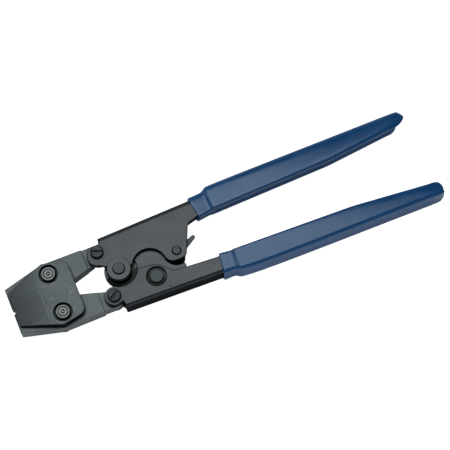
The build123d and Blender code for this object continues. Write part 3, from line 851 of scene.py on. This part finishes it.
FRAMES = ("upper_handle_frame", "lower_handle_frame")
PLATES = ("front_jaw_plate", "rear_jaw_plate")
JAWS = ("upper_jaw", "lower_jaw")
WORKS = ("ratchet_plate", "pawl", "ratchet_pin_ring")
WASHERS = (
    "pivot_washer_front", "pivot_washer_rear", "pivot_thrust_washers",
    "upper_link_washers", "lower_link_washers", "pawl_spacer",
)
PINS = (
    "center_pivot_pin", "pawl_pin", "ratchet_pin",
    "upper_link_screw", "lower_link_screw", "upper_link_post", "lower_link_post",
)
EDGE_BREAKS = (
    (FRAMES, 0.70), (PLATES, 0.50), (JAWS, 0.45), (WORKS, 0.25), (WASHERS, 0.35), (PINS, 0.28),
)
for kind, width in EDGE_BREAKS:
    for node in kind:
        deburred(node, width * MM)
for node in ("upper_jaw_pin", "lower_jaw_pin"):
    turned_pin(node)
for handle in (UPPER, LOWER):
    vinyl_grip(handle)
coiled_spring("pawl_spring")


# Bench, light and camera


def paper_finish():
    """White bench paper: bright to the camera, and a soft glow on the tool from the paper round it."""
    material, tree, shader = new_material("white_bench")
    shader["Base Color"].default_value = PAPER_GREY
    shader["Roughness"].default_value = PAPER_ROUGH
    shader["Specular IOR Level"].default_value = 0.0
    shader["Emission Color"].default_value = PAPER_LIGHT
    length = tree.nodes.new("ShaderNodeVectorMath")
    length.operation = "LENGTH"
    tree.links.new(object_place(tree), length.inputs[0])
    away = ramp(tree, length.outputs["Value"], PAPER_NEAR, PAPER_FAR)
    path = tree.nodes.new("ShaderNodeLightPath")
    shelter = tree.nodes.new("ShaderNodeAmbientOcclusion")
    shelter.samples = PAPER_SAMPLES
    shelter.inputs["Distance"].default_value = PAPER_SHADE
    unshaded = math(tree, "POWER", shelter.outputs["AO"], PAPER_SHADE_POWER)
    near = math(tree, "MULTIPLY", blend_value(tree, away, PAPER_GLOW, 0.0), unshaded)
    seen = math(tree, "MULTIPLY", path.outputs["Is Camera Ray"], FLOOR_GLOW)
    tree.links.new(math(tree, "MAXIMUM", near, seen), shader["Emission Strength"])
    return material


def bench_floor():
    """A white bench top, wide enough to fill every view."""
    shape = bmesh.new()
    bmesh.ops.create_grid(shape, x_segments=1, y_segments=1, size=FLOOR_HALF)
    mesh = bpy.data.meshes.new("bench_floor")
    shape.to_mesh(mesh)
    shape.free()
    mesh.materials.append(paper_finish())
    floor = bpy.data.objects.new("bench_floor", mesh)
    bpy.context.scene.collection.objects.link(floor)


def studio_world():
    """A dim room with a pale band of wall round the bench, pale all over where the camera looks at it."""
    world = bpy.data.worlds.new("studio")
    world.use_nodes = True
    tree = world.node_tree
    background = tree.nodes["Background"].inputs
    rise = split(tree, tree.nodes.new("ShaderNodeTexCoord").outputs["Generated"])["Z"]
    band = math(tree, "MULTIPLY", ramp(tree, rise, *WALL_FOOT), ramp(tree, rise, *WALL_TOP))
    room = blend_value(tree, band, ROOM_DIM, ROOM_WALL)
    path = tree.nodes.new("ShaderNodeLightPath")
    seen = math(tree, "MULTIPLY", path.outputs["Is Camera Ray"], ROOM_PALE)
    tree.links.new(math(tree, "MAXIMUM", room, seen), background["Strength"])
    background["Color"].default_value = ROOM_COLOUR
    bpy.context.scene.world = world


def add_turned(name, data, place, axes):
    """A light or camera at a place, with its own three axes given."""
    item = bpy.data.objects.new(name, data)
    item.matrix_world = Matrix.Translation(place) @ Matrix(axes).transposed().to_4x4()
    bpy.context.scene.collection.objects.link(item)
    return item


def view_axes():
    """The camera's right, up and backward directions."""
    right = Vector((cos(VIEW_TURN), -sin(VIEW_TURN), 0))
    flat_back = Vector((-sin(VIEW_TURN), -cos(VIEW_TURN), 0))
    back = flat_back * sin(VIEW_TILT) + Vector((0, 0, cos(VIEW_TILT)))
    return right, back.cross(right), back


def bench_light(name, size, shift, watts):
    """A flat light on the side that the tool's flats mirror, turned and set aside."""
    right, _, back = view_axes()
    mirrored = Vector((-back.x, -back.y, back.z))
    upward = mirrored.cross(right)
    width = right * cos(LIGHT_TURN) - upward * sin(LIGHT_TURN)
    height = right * sin(LIGHT_TURN) + upward * cos(LIGHT_TURN)
    light = bpy.data.lights.new(name, "AREA")
    light.shape = "RECTANGLE"
    light.size, light.size_y = size
    light.energy = watts
    light.color = LIGHT_COLOUR
    aside, above = shift
    place = VIEW_TARGET + mirrored * LIGHT_DISTANCE + right * aside + upward * above
    add_turned(name, light, place, (width, height, mirrored))


def photo_camera():
    """The camera at the photograph's view."""
    right, up, back = view_axes()
    data = bpy.data.cameras.new("photo_camera")
    data.lens = LENS_MM
    data.sensor_width = SENSOR_MM
    place = VIEW_TARGET + back * VIEW_DISTANCE
    bpy.context.scene.camera = add_turned("photo_camera", data, place, (right, up, back))


bench_floor()
studio_world()
bench_light("softbox", SOFTBOX_SIZE, SOFTBOX_SHIFT, SOFTBOX_WATTS)
bench_light("fill_card", CARD_SIZE, CARD_SHIFT, CARD_WATTS)
photo_camera()
bpy.context.scene.view_settings.view_transform = "Standard"
